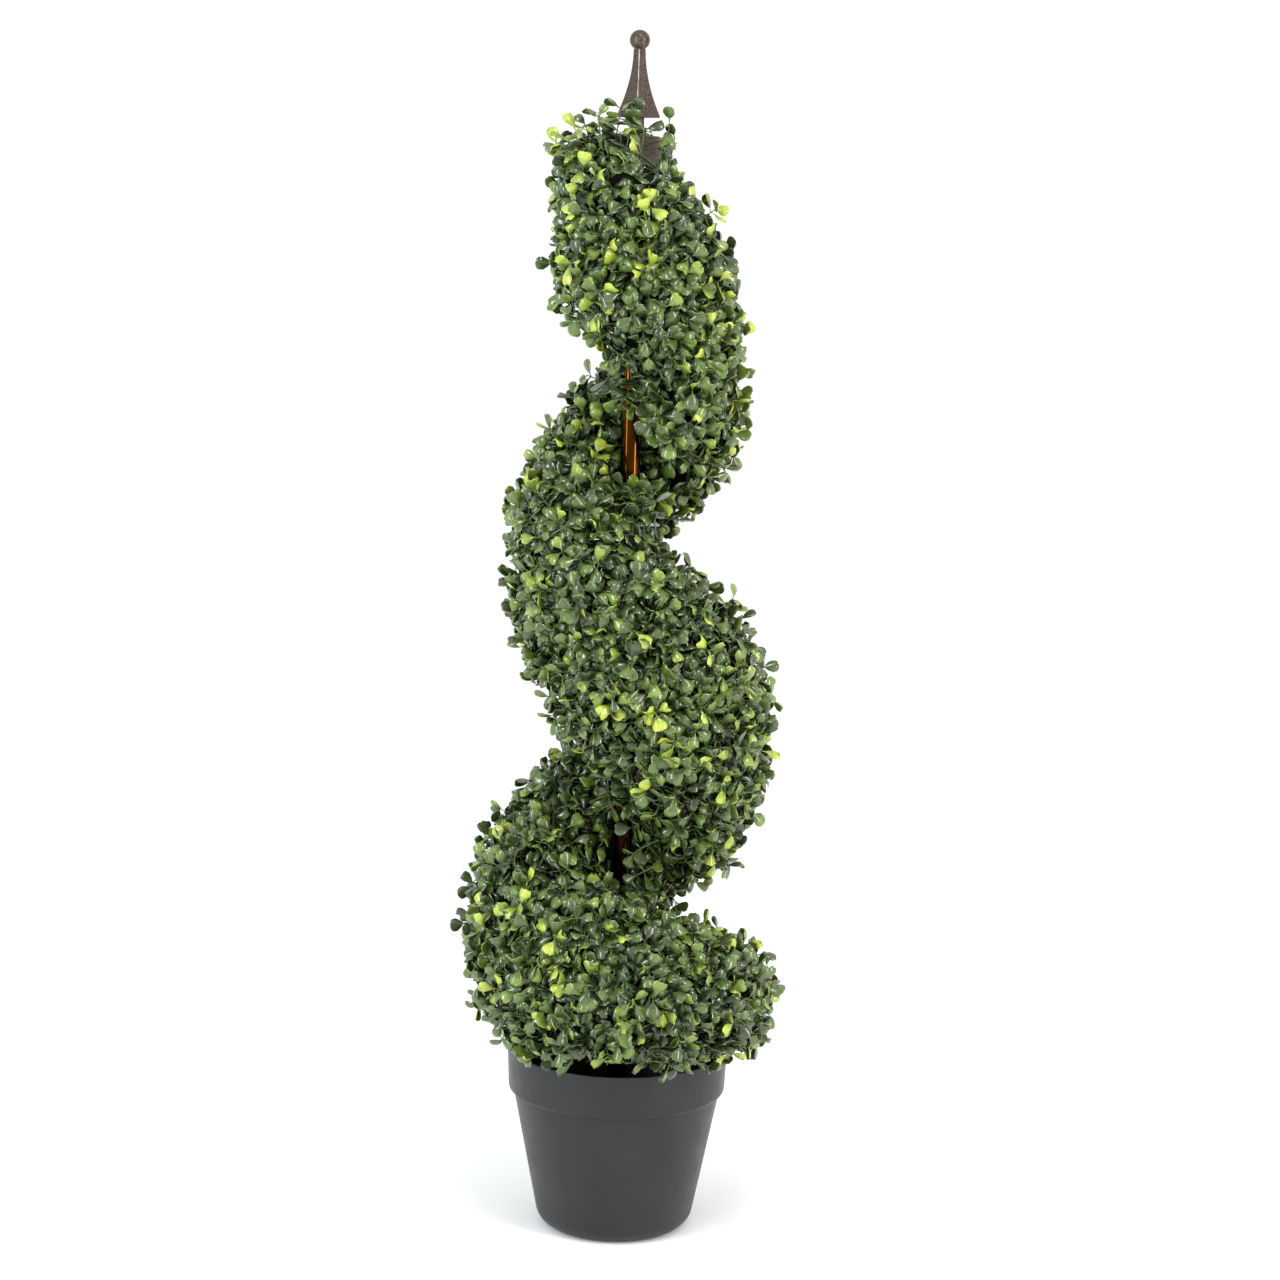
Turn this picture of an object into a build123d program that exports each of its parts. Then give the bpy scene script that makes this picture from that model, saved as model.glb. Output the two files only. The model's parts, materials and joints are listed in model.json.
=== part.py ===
from build123d import *
import math
import os

# Artificial boxwood spiral topiary in a planter pot, with a metal finial on top.
# Millimetres. The origin is the centre of the pot's underside, +Z is up and -Y is the front.

# ---- pot ----
POT_HEIGHT = 186
POT_RIM_RADIUS = 112
POT_FOOT_RADIUS = 77.2
POT_TAPER = 0.198  # growth of the body's radius for each millimetre of height
POT_WALL = 2.5
POT_FOOT_FILLET = 19
RIM_BAND_HEIGHT = 45
RIM_BAND_TAPER = 2
RIM_BAND_FILLET = 5

# ---- ballast and trunk ----
BALLAST_TOP = 56
TRUNK_RADIUS = 10
TRUNK_WALL = 1
TRUNK_FOOT = 14
TRUNK_TOP = 1060
PIN_RADIUS = 3
PIN_LENGTH = 90
PIN_HEIGHTS = (28, 44)
FIT_GAP = 0.05

# ---- finial ----
TOTAL_HEIGHT = 1200
BALL_RADIUS = 9.8
SPIRE_BOTTOM = 1116.5
SPIRE_TOP = 1181.5
SPIRE_LIP = 2
SPIRE_BOTTOM_HALF_DIAGONAL = 22
SPIRE_TOP_HALF_DIAGONAL = 6.2
SPIRE_FLARE = 1.9  # exponent of the concave flare
SPIRE_SECTIONS = 6
FINIAL_TURN = 41  # degrees from square-on to corner-on, nearly 45
STEM_RADIUS = 6
STEM_BOTTOM = 1056
STEM_TOP = 1134
STEM_COLLAR_RADIUS = 8.5
STEM_COLLAR_HEIGHT = 8
STEM_RUNNING_GAP = 0.08
STEM_END_GAP = 1
BLOCK_SIDE = 31
BLOCK_HEIGHT = 39
BLOCK_CHAMFER = 1.2
SPIGOT_LENGTH = 30
STUD_RADIUS = 2
STUD_LENGTH = 14
SET_SCREW_RADIUS = 2
SET_SCREW_LENGTH = 6

# ---- foliage strand, which winds down round the trunk ----
# Each station: turns after the left side (-X), height of the middle, half height, outer radius.
STATIONS = (
    (-0.37, 1062, 56, 66),
    (0.00, 1012, 104, 82),
    (0.25, 984, 118, 97),
    (0.50, 888, 134, 112),
    (1.00, 690, 120, 124),
    (1.50, 512, 143, 151),
    (2.00, 315, 119, 163),
    (2.50, 240, 76, 167),
    (2.82, 219, 30, 168),
)
BELLY = 0.38  # where across the strand it is tallest, from the trunk side outwards
INNER_RADIUS = 13
TOP_INNER_RADIUS = 25
BLOCK_CLEAR_TURNS = (0.6, 0.9)  # the inner radius narrows from the block's to the trunk's between these
RIM_CLEARANCE = 4
END_TAPER_TURNS = 0.07
END_TAPER_LEAST = 0.35
MAT_COUNT = 12
MAT_SKIN = 2
MAT_SECTIONS = 5
MAT_GAP_TURNS = 0.0008
OUTLINE_POINTS = 16
OVERRUN_TURNS = 0.01

# ---- wire frame under the foliage ----
LEAF_DEPTH = 20  # from the foliage's outer surface to the rails
TRUNK_SIDE_DEPTH = 7  # the same on the trunk side, where the leaves are pressed flat
RAIL_RADIUS = 1.6
RIB_RADIUS = 1.3
WELD_DEPTH = 1
RAIL_POINTS_PER_TURN = 24
RIB_SHARES = (0.25, 0.75)  # where the two ribs of each mat stand along it
RIB_POINTS = 14
FRAME_END_TURNS = 0.06
COLLAR_MATS = (2, 4, 6, 8, 10)  # the mats with a collar at mid length
COLLAR_HEIGHT = 9
COLLAR_WALL = 2
SPOKE_RADIUS = 1.3
SPOKE_HOLE_GAP = 0.3
TIE_WIDTH = 3
TIE_THICKNESS = 1.2
TIE_SLACK = 1.7
TIE_HEAD = 4.5

FIRST_TURN = STATIONS[0][0]
LAST_TURN = STATIONS[-1][0]
MAT_TURNS = (LAST_TURN - FIRST_TURN) / MAT_COUNT


def write(name, shape):
    """Writes one sub-part to its STEP file."""
    export_step(shape, f"parts/{name}.step")


def pot_body_radius(height):
    """Outer radius of the pot's tapered body."""
    return POT_FOOT_RADIUS + POT_TAPER * height


def along(turn, column):
    """A station column at any turn: a smooth cubic through the stations."""
    last = len(STATIONS) - 1
    left = max(i for i in range(last) if turn >= STATIONS[i][0] or i == 0)

    def slope(i):
        low, high = max(i - 1, 0), min(i + 1, last)
        return (STATIONS[high][column] - STATIONS[low][column]) / (STATIONS[high][0] - STATIONS[low][0])

    span = STATIONS[left + 1][0] - STATIONS[left][0]
    t = (turn - STATIONS[left][0]) / span
    start, end = STATIONS[left][column], STATIONS[left + 1][column]
    return (
        (2 * t**3 - 3 * t**2 + 1) * start
        + (t**3 - 2 * t**2 + t) * span * slope(left)
        + (3 * t**2 - 2 * t**3) * end
        + (t**3 - t**2) * span * slope(left + 1)
    )


def end_scale(turn):
    """Rounds the two ends of the strand off: 1 along it and less near its ends."""
    near = min(turn - FIRST_TURN, LAST_TURN - turn) / END_TAPER_TURNS
    if near >= 1:
        return 1
    return END_TAPER_LEAST + (1 - END_TAPER_LEAST) * math.sqrt(1 - (1 - max(near, 0)) ** 2)


def inner_radius(turn):
    """Clear radius on the trunk side: wide past the finial block, narrow past the trunk."""
    start, end = BLOCK_CLEAR_TURNS
    share = min(max((turn - start) / (end - start), 0), 1)
    return TOP_INNER_RADIUS + (INNER_RADIUS - TOP_INNER_RADIUS) * share


def mat_turn(index, share):
    """The turn at one share of a mat's length."""
    return FIRST_TURN + MAT_TURNS * (index + share)


def half_section(turn, inset, trunk_inset):
    """Middle radius and height, then inward, outward, upward and downward reach of the section."""
    scale = end_scale(turn)
    inner = inner_radius(turn)
    width = along(turn, 3) - inner
    middle = along(turn, 1)
    height = along(turn, 2)
    down = min(height, middle - POT_HEIGHT - RIM_CLEARANCE)
    return (
        inner + BELLY * width,
        middle,
        BELLY * width * scale - trunk_inset,
        (1 - BELLY) * width * scale - inset,
        height * scale - inset,
        down * scale - inset,
    )


def place(turn, radius, height):
    """A point of the strand from its turn, its distance from the trunk's axis and its height."""
    angle = math.pi * (1 + 2 * turn)
    return Vector(radius * math.cos(angle), radius * math.sin(angle), height)


def section_point(turn, angle, inset, trunk_inset):
    """A point of the strand's section outline, inset from the foliage's outer surface."""
    radius, middle, inward, outward, up, down = half_section(turn, inset, trunk_inset)
    across, rise = math.cos(angle), math.sin(angle)
    radius += (outward if across > 0 else inward) * across
    middle += (up if rise > 0 else down) * rise
    return place(turn, radius, middle)


def section_wire(turn, inset):
    """The closed outline of the strand at one turn."""
    angles = [2 * math.pi * i / OUTLINE_POINTS for i in range(OUTLINE_POINTS)]
    points = [section_point(turn, angle, inset, inset) for angle in angles]
    return Wire([Spline(points, periodic=True).edge()])


def strand_solid(start, end, inset):
    """A solid length of the strand between two turns."""
    turns = [start + (end - start) * i / (MAT_SECTIONS - 1) for i in range(MAT_SECTIONS)]
    return Solid.make_loft([section_wire(turn, inset) for turn in turns])


def corner_radii(points, closed, share=0.42):
    """A fillet radius for each corner of a path, as large as its shorter run allows."""
    count = len(points)
    corners = range(count) if closed else range(1, count - 1)
    radii = []
    for i in corners:
        before = points[i] - points[i - 1]
        after = points[(i + 1) % count] - points[i]
        half_turn = math.radians(before.get_angle(after)) / 2
        radii.append(share * min(before.length, after.length) / math.tan(half_turn))
    return radii


def wire_rod(points, radius, closed=False):
    """A round wire along straight runs joined by tangent arcs."""
    path = FilletPolyline(points, radius=corner_radii(points, closed), close=closed)
    start = path.edges()[0]
    section = Plane(origin=start @ 0, z_dir=start % 0) * Circle(radius)
    return sweep(section, path=path).solid()


def planter_pot():
    """The moulded pot: a tapered body with a stepped rim band round its top."""
    band_bottom = POT_HEIGHT - RIM_BAND_HEIGHT
    band_radius = POT_RIM_RADIUS - RIM_BAND_TAPER
    step = pot_body_radius(band_bottom)
    inside_foot = pot_body_radius(POT_WALL) - POT_WALL
    outline = Polyline(
        (0, 0),
        (POT_FOOT_RADIUS, 0),
        (step, band_bottom),
        (band_radius, band_bottom),
        (POT_RIM_RADIUS, POT_HEIGHT),
        (POT_RIM_RADIUS - POT_WALL, POT_HEIGHT),
        (band_radius - POT_WALL, band_bottom + POT_WALL),
        (step - POT_WALL, band_bottom + POT_WALL),
        (inside_foot, POT_WALL),
        (0, POT_WALL),
        close=True,
    )
    profile = make_face(outline)

    def corners(radius, height):
        return [v for v in profile.vertices() if abs(v.X - radius) < 0.01 and abs(v.Y - height) < 0.01]

    profile = fillet(corners(POT_FOOT_RADIUS, 0), POT_FOOT_FILLET)
    profile = fillet(corners(inside_foot, POT_WALL), POT_FOOT_FILLET - POT_WALL)
    profile = fillet(corners(band_radius, band_bottom), RIM_BAND_FILLET)
    profile = fillet(corners(band_radius - POT_WALL, band_bottom + POT_WALL), RIM_BAND_FILLET - POT_WALL)
    rim = corners(POT_RIM_RADIUS, POT_HEIGHT) + corners(POT_RIM_RADIUS - POT_WALL, POT_HEIGHT)
    profile = fillet(rim, POT_WALL / 3)
    return revolve(Plane.XZ * profile, Axis.Z)


def trunk_pole():
    """The trunk: a steel tube with holes at its foot for the two cross pins."""
    height = TRUNK_TOP - TRUNK_FOOT
    ring = Circle(TRUNK_RADIUS) - Circle(TRUNK_RADIUS - TRUNK_WALL)
    pole = extrude(Plane.XY.offset(TRUNK_FOOT) * ring, height)
    for pin in pin_rods(PIN_RADIUS + FIT_GAP):
        pole -= pin
    for screw in set_screws(SET_SCREW_RADIUS + FIT_GAP):
        pole -= screw
    return pole


def pin_rods(radius):
    """The two crossed pins through the trunk's foot."""
    turns = (0, 90)
    return [
        Pos(0, 0, height) * Rot(0, 0, turn) * Rot(0, 90, 0) * Cylinder(radius, PIN_LENGTH)
        for height, turn in zip(PIN_HEIGHTS, turns)
    ]


def ballast():
    """Cast ballast that fills the pot's foot round the trunk and its pins."""
    gap = 0.3
    bottom = POT_WALL + gap
    slack = POT_WALL + gap
    face = make_face(
        Polyline(
            (0, bottom),
            (pot_body_radius(bottom) - slack, bottom),
            (pot_body_radius(BALLAST_TOP) - slack, BALLAST_TOP),
            (0, BALLAST_TOP),
            close=True,
        )
    )
    foot = [v for v in face.vertices() if v.X > POT_WALL and v.Y < POT_FOOT_FILLET]
    face = fillet(foot, POT_FOOT_FILLET)
    cast = revolve(Plane.XZ * face, Axis.Z)
    cast -= Pos(0, 0, (TRUNK_FOOT + BALLAST_TOP) / 2) * Cylinder(
        TRUNK_RADIUS + FIT_GAP, BALLAST_TOP - TRUNK_FOOT
    )
    for pin in pin_rods(PIN_RADIUS + FIT_GAP):
        cast -= pin
    return cast


def block_plane(height):
    """A plane square with the finial at one height."""
    return Plane.XY.offset(height).rotated((0, 0, FINIAL_TURN))


def finial_block():
    """The square block on the trunk's top, with a spigot down into the tube and a bore for the stem."""
    block = extrude(block_plane(TRUNK_TOP) * Rectangle(BLOCK_SIDE, BLOCK_SIDE), BLOCK_HEIGHT)
    block = chamfer(block.edges(), BLOCK_CHAMFER)
    spigot_radius = TRUNK_RADIUS - TRUNK_WALL - FIT_GAP
    spigot = Pos(0, 0, TRUNK_TOP - SPIGOT_LENGTH / 2) * Cylinder(spigot_radius, SPIGOT_LENGTH)
    block += spigot
    bore_length = TRUNK_TOP + BLOCK_HEIGHT - STEM_BOTTOM + STEM_END_GAP
    bore_middle = TRUNK_TOP + BLOCK_HEIGHT - bore_length / 2
    block -= Pos(0, 0, bore_middle) * Cylinder(STEM_RADIUS + STEM_RUNNING_GAP, bore_length)
    for screw in set_screws(SET_SCREW_RADIUS + FIT_GAP):
        block -= screw
    return block


def set_screws(radius):
    """Two set screws through the trunk's wall into the block's spigot."""
    height = TRUNK_TOP - SPIGOT_LENGTH * 2 / 3
    reach = TRUNK_RADIUS + 0.5 - SET_SCREW_LENGTH / 2
    screw = Pos(reach, 0, height) * Rot(0, 90, 0) * Cylinder(radius, SET_SCREW_LENGTH)
    return [Rot(0, 0, turn) * screw for turn in (0, 180)]


def spire_half_diagonal(height):
    """The spire flares out downwards in a concave curve."""
    fall = (SPIRE_TOP - height) / (SPIRE_TOP - SPIRE_BOTTOM - SPIRE_LIP)
    growth = SPIRE_BOTTOM_HALF_DIAGONAL - SPIRE_TOP_HALF_DIAGONAL
    return SPIRE_TOP_HALF_DIAGONAL + growth * max(fall, 0) ** SPIRE_FLARE


def finial_spire():
    """The flared four-sided spire on its thin square lip."""
    flare_bottom = SPIRE_BOTTOM + SPIRE_LIP
    sections = []
    for i in range(SPIRE_SECTIONS):
        height = flare_bottom + (SPIRE_TOP - flare_bottom) * i / (SPIRE_SECTIONS - 1)
        side = spire_half_diagonal(height) * math.sqrt(2)
        sections.append(block_plane(height) * RectangleRounded(side, side, side * 0.08))
    spire = loft(sections)
    side = SPIRE_BOTTOM_HALF_DIAGONAL * math.sqrt(2)
    spire += extrude(block_plane(SPIRE_BOTTOM) * RectangleRounded(side, side, side * 0.08), SPIRE_LIP)
    socket_length = STEM_TOP - SPIRE_BOTTOM
    spire -= Pos(0, 0, SPIRE_BOTTOM + socket_length / 2) * Cylinder(STEM_RADIUS + FIT_GAP, socket_length)
    spire -= stud_rod(STUD_RADIUS + FIT_GAP)
    return spire


def stud_rod(radius):
    """The stud that joins the ball to the spire."""
    return Pos(0, 0, SPIRE_TOP) * Cylinder(radius, STUD_LENGTH)


def finial_ball():
    """The ball, flat where it sits on the spire's tip."""
    centre = TOTAL_HEIGHT - BALL_RADIUS
    ball = Pos(0, 0, centre) * Sphere(BALL_RADIUS)
    ball -= Pos(0, 0, SPIRE_TOP - BALL_RADIUS) * Box(3 * BALL_RADIUS, 3 * BALL_RADIUS, 2 * BALL_RADIUS)
    return ball - stud_rod(STUD_RADIUS + FIT_GAP)


def finial_stem():
    """The stem under the spire, with the collar that rests on the block."""
    length = STEM_TOP - STEM_BOTTOM
    stem = Pos(0, 0, STEM_BOTTOM + length / 2) * Cylinder(STEM_RADIUS, length)
    block_top = TRUNK_TOP + BLOCK_HEIGHT
    collar = Pos(0, 0, block_top + STEM_COLLAR_HEIGHT / 2) * Cylinder(STEM_COLLAR_RADIUS, STEM_COLLAR_HEIGHT)
    return stem + collar


def rail(angle):
    """One helical rail of the frame, at one angle round the strand's section."""
    first = FIRST_TURN + FRAME_END_TURNS
    last = LAST_TURN - FRAME_END_TURNS
    count = round((last - first) * RAIL_POINTS_PER_TURN)
    turns = [first + (last - first) * i / count for i in range(count + 1)]
    points = [section_point(turn, angle, LEAF_DEPTH, TRUNK_SIDE_DEPTH) for turn in turns]
    return wire_rod(points, RAIL_RADIUS)


def rib(turn):
    """One closed rib loop, welded just inside the rails."""
    step = RAIL_RADIUS + RIB_RADIUS - WELD_DEPTH
    angles = [2 * math.pi * i / RIB_POINTS for i in range(RIB_POINTS)]
    points = [section_point(turn, a, LEAF_DEPTH + step, TRUNK_SIDE_DEPTH + step) for a in angles]
    return wire_rod(points, RIB_RADIUS, closed=True)


def collar_ring(turn):
    """A split collar on the trunk at the height of one spoke."""
    height = along(turn, 1)
    outer = TRUNK_RADIUS + COLLAR_WALL
    ring = Pos(0, 0, height) * Cylinder(outer, COLLAR_HEIGHT)
    ring -= Pos(0, 0, height) * Cylinder(TRUNK_RADIUS + FIT_GAP, COLLAR_HEIGHT)
    split = Pos(-outer, 0, height) * Box(outer, 1, COLLAR_HEIGHT)
    return Rot(0, 0, 360 * turn + 180) * (ring - split)


def spoke(turn, radius, start, end):
    """A straight wire from a collar out to the inner rail."""
    height = along(turn, 1)
    rod = Pos((start + end) / 2, 0, height) * Rot(0, 90, 0) * Cylinder(radius, end - start)
    return Rot(0, 0, 360 * turn + 180) * rod


def spoke_rod(turn):
    """The spoke at one turn, let into its collar and welded to the inner rail."""
    start = TRUNK_RADIUS + COLLAR_WALL / 2
    end = inner_radius(turn) + TRUNK_SIDE_DEPTH - RAIL_RADIUS + WELD_DEPTH
    return spoke(turn, SPOKE_RADIUS, start, end)


def foliage_mat(index):
    """One mat of the foliage sleeve; the first and the last close the strand's ends."""
    start = mat_turn(index, 0) + MAT_GAP_TURNS
    end = mat_turn(index, 1) - MAT_GAP_TURNS
    mat = strand_solid(start, end, 0)
    hollow_start = start + OVERRUN_TURNS if index == 0 else start - OVERRUN_TURNS
    hollow_end = end - OVERRUN_TURNS if index == MAT_COUNT - 1 else end + OVERRUN_TURNS
    mat -= strand_solid(hollow_start, hollow_end, MAT_SKIN)
    if index in COLLAR_MATS:
        turn = mat_turn(index, 0.5)
        mat -= spoke(turn, SPOKE_RADIUS + SPOKE_HOLE_GAP, TRUNK_RADIUS, along(turn, 3) / 2)
    return mat


def mat_tie(turn):
    """A strap from the outer rail out to the mat, with its locking head."""
    radius = along(turn, 3)
    inside = radius - LEAF_DEPTH - 2 * RAIL_RADIUS - TIE_SLACK
    outside = radius - MAT_SKIN - TIE_SLACK
    length = outside - inside
    width = 2 * (RAIL_RADIUS + TIE_SLACK + TIE_THICKNESS)
    loop = SlotOverall(length, width) - SlotOverall(length - 2 * TIE_THICKNESS, width - 2 * TIE_THICKNESS)
    strap = extrude(loop, TIE_WIDTH / 2, both=True)
    strap += Pos(0, width / 2 + TIE_HEAD / 4, 0) * Box(TIE_HEAD, TIE_HEAD / 2 + 0.4, TIE_HEAD)
    upright = Pos((inside + outside) / 2, 0, along(turn, 1)) * Rot(90, 0, 0) * strap
    return Rot(0, 0, 360 * turn + 180) * upright


os.makedirs("parts", exist_ok=True)

# pot, ballast and trunk
write("planter_pot", planter_pot())
write("cast_ballast", ballast())
write("trunk_pole", trunk_pole())
for number, pin in enumerate(pin_rods(PIN_RADIUS), 1):
    write(f"trunk_cross_pin_{number}", pin)

# finial
write("finial_block", finial_block())
write("finial_set_screws", Compound(children=set_screws(SET_SCREW_RADIUS)))
write("finial_stem", finial_stem())
write("finial_spire", finial_spire())
write("finial_ball_stud", stud_rod(STUD_RADIUS))
write("finial_ball", finial_ball())

# wire frame
write("frame_outer_rail", rail(0))
write("frame_upper_rail", rail(math.pi / 2))
write("frame_inner_rail", rail(math.pi))
write("frame_lower_rail", rail(-math.pi / 2))
ribs = [rib(mat_turn(index, share)) for index in range(MAT_COUNT) for share in RIB_SHARES]
write("frame_ribs_upper", Compound(children=ribs[:10]))
write("frame_ribs_middle", Compound(children=ribs[10:17]))
write("frame_ribs_lower", Compound(children=ribs[17:]))
for number, index in enumerate(COLLAR_MATS, 1):
    turn = mat_turn(index, 0.5)
    write(f"trunk_collar_{number}", collar_ring(turn))
    write(f"frame_spoke_{number}", spoke_rod(turn))

# foliage
for index in range(MAT_COUNT):
    write(f"foliage_mat_{index + 1:02d}", foliage_mat(index))
write("mat_ties", Compound(children=[mat_tie(mat_turn(index, 0)) for index in range(1, MAT_COUNT)]))
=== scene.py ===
import json
import math

import bpy
import numpy as np
from mathutils import Matrix, Vector
from mathutils.bvhtree import BVHTree


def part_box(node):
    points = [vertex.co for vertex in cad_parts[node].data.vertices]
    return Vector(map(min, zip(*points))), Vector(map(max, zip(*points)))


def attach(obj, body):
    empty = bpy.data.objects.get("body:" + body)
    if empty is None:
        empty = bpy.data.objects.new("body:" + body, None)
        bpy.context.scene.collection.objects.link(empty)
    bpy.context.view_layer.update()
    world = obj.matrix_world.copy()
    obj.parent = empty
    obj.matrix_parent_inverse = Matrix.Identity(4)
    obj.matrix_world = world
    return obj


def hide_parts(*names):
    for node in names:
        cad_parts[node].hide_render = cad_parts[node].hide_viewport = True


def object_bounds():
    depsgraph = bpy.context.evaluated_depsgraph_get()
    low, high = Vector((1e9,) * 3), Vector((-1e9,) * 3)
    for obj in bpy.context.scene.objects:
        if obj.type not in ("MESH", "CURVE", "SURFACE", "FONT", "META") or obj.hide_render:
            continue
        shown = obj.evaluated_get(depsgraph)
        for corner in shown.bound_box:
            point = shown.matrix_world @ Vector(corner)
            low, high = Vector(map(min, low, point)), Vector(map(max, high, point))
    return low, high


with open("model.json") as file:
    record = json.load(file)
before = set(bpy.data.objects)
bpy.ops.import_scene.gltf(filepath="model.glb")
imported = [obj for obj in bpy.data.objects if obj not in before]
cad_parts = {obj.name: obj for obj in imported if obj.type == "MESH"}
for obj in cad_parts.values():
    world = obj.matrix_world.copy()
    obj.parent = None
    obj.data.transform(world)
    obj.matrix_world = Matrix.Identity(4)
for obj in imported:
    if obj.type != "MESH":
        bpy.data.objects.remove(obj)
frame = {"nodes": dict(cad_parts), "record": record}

# Artificial boxwood spiral topiary: leaves, stems and backing for each foliage mat of the frame,
# then materials for the carried-over parts, a plain floor, soft lights and the camera. Metres.

CAD_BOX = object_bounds()
RNG = np.random.default_rng(20261)
MM = 0.001

MATS = sorted(name for name in frame["nodes"] if name.startswith("foliage_mat_"))

# ---- how the strand is measured from the frame ----
AZIMUTHS_PER_MAT = 14
ANGLES = 40  # outline points round the strand's section
HEIGHT_STEP = 3 * MM
END_MARGIN = math.radians(0.6)
BELLY = 0.4  # where across the section its middle is taken, from the trunk side outwards
RAY_START = 0.5  # farther out than any part of the tree
SECTION_REACH = 0.3  # farther out than any section's outline is from its middle
ROW_STEP, COLUMN_STEP = 0.5, 0.7  # how far to each side a surface normal is measured

# ---- where the sprigs stand ----
SPRIG_SPACING = 18.6 * MM
FILLER_SPACING = 12.6 * MM
TRIES_PER_PLACE = 14
NEIGHBOURS = 500  # latest places that the next mat's places are kept clear of
TRUNK_SIDE_COSINE = -0.55
TRUNK_SIDE_DENSITY = 0.8
LEAF_DEPTH = 33 * MM  # from the foliage's outer surface to the feet of the sprigs
TRUNK_SIDE_DEPTH = 15 * MM
MOST_DEPTH_SHARE = 0.6
UNDERSIDE_SLOPE = -0.5  # normals that point farther down than this are on the foliage's underside

# ---- how far the stems reach past the outer surface, and how they lean ----
TIP_REACH = (-20 * MM, -8 * MM)
TRUNK_SIDE_REACH = (-7 * MM, 3 * MM)
STRAY_SHARE = 0.05
STRAY_REACH = (-6 * MM, 1 * MM)
FILLER_REACH = (-27 * MM, -20 * MM)
LEAN = 0.7
CROWN_HEIGHTS = (0.86, 0.98)  # between these the reach shortens by the crown's trim
CROWN_TRIM = 7 * MM
RIM_EXTRA_REACH = 13 * MM
RIM_HANG_OUT, RIM_HANG_DOWN = 0.45, 0.75  # how far sprigs over the pot's rim turn
LEAN_POWER = 0.7
LEAST_COSINE = 0.5  # limits how much a leaning stem is lengthened
STEM_LENGTH = (7 * MM, 44 * MM)
STEM_BEND = 0.2  # the most, as a share of a stem's length
STEM_SAG = 0.06
HAND_STEM_BEND = 0.08
STEM_RADIUS = 0.8 * MM

# ---- leaves ----
LEAF_LENGTH = (18 * MM, 23 * MM)
TIP_LEAF_LENGTH = (15 * MM, 20 * MM)
FILLER_LEAF_LENGTH = (15 * MM, 19 * MM)
LEAF_WIDTH_SHARE = (0.64, 0.8)
LEAF_THICKNESS = 0.55 * MM
RIM_SLOPE = 0.4 * MM
DOME = (1.6, 0.5)  # mean and spread
CURL = (0.45, 0.45)
PAIR_SPACING = 7.0 * MM
PAIR_SPACING_SPREAD = (0.8, 1.25)
LEAST_STEM = 2.5 * MM  # no leaves nearer to a stem's foot than this
PAIR_TURN_SPREAD = 0.3
SPLAY_SPREAD = 15  # degrees
SPLAY_LIMITS = (12, 105)
DROOP = 0.22
ROLL_SPREAD = 0.36
LEAF_MISSING = 0.05
STALK_GAP = 0.4 * MM
NOTCHED_SHARE = 0.6
NOTCH_DEPTH = (0.04, 0.12)
PLAIN_TIP = (-0.03, 0.02)

# ---- shade: below -0.9 is the darkest class of leaf, above 1.45 the limest ----
SPRIG_TONE_WEIGHT = 0.5
LEAF_TONE_WEIGHT = 0.6
TIP_SHADE = 0.6
# Painted shade: each leaf pair lower on a stem, deeper in the foliage, is darker by this much.
PAINTED_SHADE_PER_PAIR = -0.38
# Painted shade: the inner filler leaves, deep in the foliage, are this much darker.
FILLER_PAINTED_SHADE = -1.1
# Painted shade: below these heights the sprigs' tone is lowered, darkest at the bottom.
PAINTED_SHADE_HEIGHTS = (0.65, 0.85)  # below these the sprigs are darker
LOW_PAINTED_SHADE = -0.4

# Sprigs given one by one, with foot and tip in mm, and tone. These rise in front of and beside
# the finial, and fill out the crown's left shoulder.
CROWN_SPRIGS = (
    ((-32, -6, 1066), (-41, -4, 1119), 0.2),
    ((-26, -36, 1072), (-13, -33, 1123), 1.3),
    ((-14, -36, 1070), (-2, -33, 1121), 0.5),
    ((-16, -34, 1066), (-14, -48, 1100), -0.3),
    ((-32, -20, 1062), (-33, -26, 1098), -0.4),
    ((2, -36, 1062), (6, -36, 1104), -0.5),
    ((28, -30, 1062), (27, -27, 1112), 1.1),
    ((30, -30, 1060), (34, -23, 1098), -0.6),
    ((25, -33, 1066), (14, -31, 1107), 0.3),
    ((18, -38, 1040), (29, -31, 1062), 1.2),
    ((4, -42, 1046), (6, -50, 1080), 0.1),
    ((-8, -42, 1042), (-6, -56, 1070), 0.5),
    ((-52, -18, 1056), (-78, -24, 1087), 1.8),
    ((-48, -14, 1064), (-63, -20, 1102), 1.2),
    ((-50, -30, 1060), (-69, -38, 1092), 0.8),
    ((-40, -12, 1066), (-52, -14, 1106), 0.2),
)

# These narrow the two openings in which the pole shows. Some hang from the turn above and some rise
# from below.
UPPER_OPENING = [((x, -50, 890), (0.8 * x + 2, -38, 846), 0.3) for x in (-26, -14, -3, 8, 20, 32)]
UPPER_OPENING += [((x, -48, 716), (0.7 * x, -38, 752), 0.2) for x in (-30, -18, -7, 4, 15, 27)]
UPPER_OPENING += [((x, -44, 718), (0.8 * x, -33, 759), 0.0) for x in (-9, 1, 10)]
LOWER_OPENING = [((x, -52, 492), (0.8 * x + 3, -40, 446), -0.3) for x in (-18, -6, 6, 18, 30)]
LOWER_OPENING += [((34, -30, z), (11, -27, z - 12), -0.5) for z in (460, 432, 406, 380, 356)]
HAND_SPRIGS = {
    "foliage_mat_03": list(CROWN_SPRIGS) + UPPER_OPENING[:6],
    "foliage_mat_07": UPPER_OPENING[6:] + LOWER_OPENING,
}

# One bare twig, which crosses in front of the finial block.
BARE_TWIG = ((-12, -32, 1083), (26, -26, 1098), 0.0)

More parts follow.
